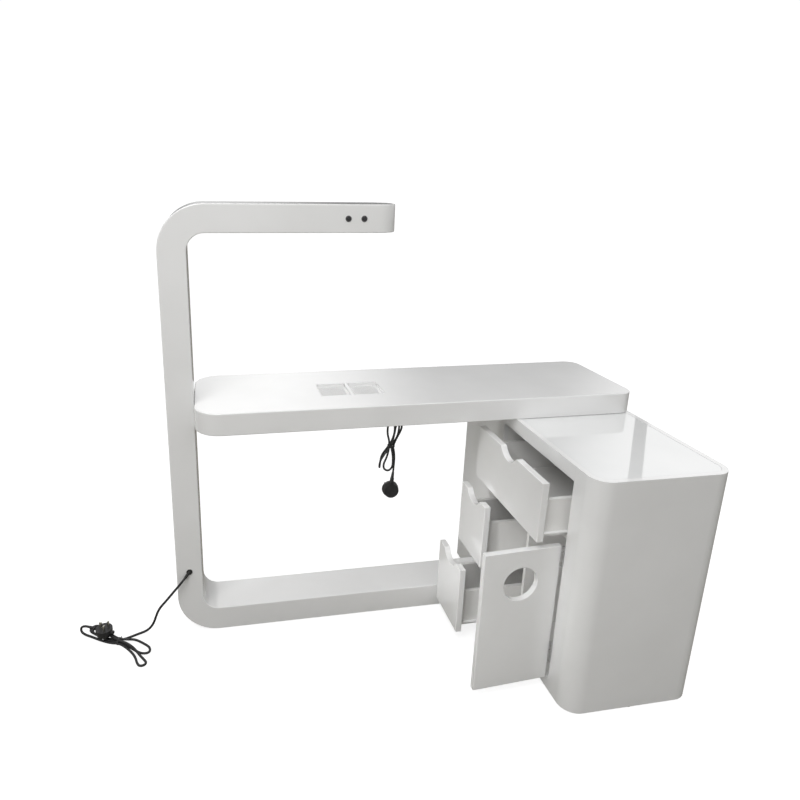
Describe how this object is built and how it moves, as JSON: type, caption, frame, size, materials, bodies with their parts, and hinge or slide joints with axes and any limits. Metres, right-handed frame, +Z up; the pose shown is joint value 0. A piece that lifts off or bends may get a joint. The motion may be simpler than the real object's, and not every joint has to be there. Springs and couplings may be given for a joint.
{
  "type": "manicure table",
  "caption": "White manicure table with a C-shaped lamp frame, a long rounded top with built-in dust extraction, and a drawer cabinet with a holed door.",
  "frame": {"origin": "on the floor, below the middle of the table's bounding box without its cords", "axes": "+X along the tabletop from the lamp column to the cabinet, +Y from the front of the cabinet to the back edge of the tabletop, +Z up"},
  "size_m": [1.7105, 0.7926, 1.302],
  "materials": {
    "white_lacquer": "gloss white lacquer on board",
    "white_melamine": "satin white melamine on board",
    "glossy_glass": "polished, white-backed",
    "white_steel": "white powder coat",
    "nylon": "moulded",
    "steel": "zinc plated",
    "aluminium": "anodised",
    "led_board": "white circuit board",
    "diffuser": "opal",
    "driver_case": "moulded",
    "switch_metal": "black",
    "button_black": "moulded",
    "fan_plastic": "moulded",
    "black_rubber": "PVC sheath",
    "plug_black": "moulded"
  },
  "bodies": {
    "table": {"cabinet_back": "white_lacquer", "cabinet_base": "white_melamine", "cabinet_front": "white_lacquer", "cabinet_left": "white_lacquer", "cabinet_rails": "white_steel", "cabinet_right": "white_lacquer", "cabinet_shelf": "white_melamine", "cabinet_top": "white_melamine", "column": "white_lacquer", "extractor_cord_hank": "black_rubber", "extractor_cord_lower": "black_rubber", "extractor_cord_relief": "black_rubber", "extractor_cord_upper": "black_rubber", "extractor_plug": "plug_black", "fan_frames": "fan_plastic", "fixed_hinge_leaves": "steel", "floor_beam": "white_lacquer", "floor_glides": "nylon", "glass_worktop": "glossy_glass", "grille_left": "white_steel", "grille_right": "white_steel", "hinge_pins": "steel", "lamp_arm": "white_lacquer", "lamp_cord": "black_rubber", "lamp_cord_hank": "black_rubber", "lamp_cord_relief": "black_rubber", "lamp_driver": "driver_case", "lamp_plug": "plug_black", "led_strip": "led_board", "light_channel": "aluminium", "light_diffuser": "diffuser", "lower_bend": "white_lacquer", "partitions": "white_melamine", "switch_bezels": "switch_metal", "tabletop_bracket": "steel", "tabletop_edge": "white_lacquer", "tabletop_panel": "white_lacquer", "tabletop_ribs": "white_melamine", "tabletop_underside": "white_lacquer", "upper_bend": "white_lacquer", "vent_divider": "white_lacquer", "vent_tray": "white_lacquer"},
    "top_drawer": {"top_drawer_front": "white_lacquer", "top_drawer_box": "white_melamine", "top_drawer_runners": "white_steel"},
    "middle_drawer": {"middle_drawer_front": "white_lacquer", "middle_drawer_box": "white_melamine", "middle_drawer_runners": "white_steel"},
    "bottom_drawer": {"bottom_drawer_front": "white_lacquer", "bottom_drawer_box": "white_melamine", "bottom_drawer_runners": "white_steel"},
    "door": {"door_panel": "white_lacquer", "door_hinge_leaves": "steel"},
    "light_button": {"light_button": "button_black"},
    "dimmer_button": {"dimmer_button": "button_black"},
    "left_fan": {"left_fan_rotor": "fan_plastic"},
    "right_fan": {"right_fan_rotor": "fan_plastic"},
    "top_rollers": {"top_front_rollers": "nylon"},
    "middle_rollers": {"middle_front_rollers": "nylon"},
    "bottom_rollers": {"bottom_front_rollers": "nylon"}
  },
  "joints": [
    {"name": "top_drawer_slide", "type": "slide", "parent": "table", "child": "top_drawer", "axis": [-1, 0, 0], "range_m": [-0.083, 0.167]},
    {"name": "middle_drawer_slide", "type": "slide", "parent": "table", "child": "middle_drawer", "axis": [-1, 0, 0], "range_m": [-0.126, 0.124]},
    {"name": "bottom_drawer_slide", "type": "slide", "parent": "table", "child": "bottom_drawer", "axis": [-1, 0, 0], "range_m": [-0.187, 0.063]},
    {"name": "top_roller_spin", "type": "hinge", "parent": "table", "child": "top_rollers", "pos_m": [0.348, 0, 0.4875], "axis": [0, 1, 0], "continuous": true},
    {"name": "middle_roller_spin", "type": "hinge", "parent": "table", "child": "middle_rollers", "pos_m": [0.348, 0, 0.2765], "axis": [0, 1, 0], "continuous": true},
    {"name": "bottom_roller_spin", "type": "hinge", "parent": "table", "child": "bottom_rollers", "pos_m": [0.348, 0, 0.0515], "axis": [0, 1, 0], "continuous": true},
    {"name": "door_swing", "type": "hinge", "parent": "table", "child": "door", "pos_m": [0.313, -0.29475, 0.245], "axis": [0, 0, 1], "range_deg": [-93.5, 16.5]},
    {"name": "light_button_press", "type": "slide", "parent": "table", "child": "light_button", "axis": [0, 1, 0], "range_m": [0, 0.0015], "stiffness_N_per_m": 400},
    {"name": "dimmer_button_press", "type": "slide", "parent": "table", "child": "dimmer_button", "axis": [0, 1, 0], "range_m": [0, 0.0015], "stiffness_N_per_m": 400},
    {"name": "left_fan_spin", "type": "hinge", "parent": "table", "child": "left_fan", "pos_m": [-0.2115, 0.198, 0.72], "axis": [0, 0, 1], "continuous": true},
    {"name": "right_fan_spin", "type": "hinge", "parent": "table", "child": "right_fan", "pos_m": [-0.1095, 0.198, 0.72], "axis": [0, 0, 1], "continuous": true}
  ],
  "couplings": [
    {"joint": "top_roller_spin", "follows": "top_drawer_slide", "rad_per_m": -125},
    {"joint": "middle_roller_spin", "follows": "middle_drawer_slide", "rad_per_m": -125},
    {"joint": "bottom_roller_spin", "follows": "bottom_drawer_slide", "rad_per_m": -125}
  ]
}
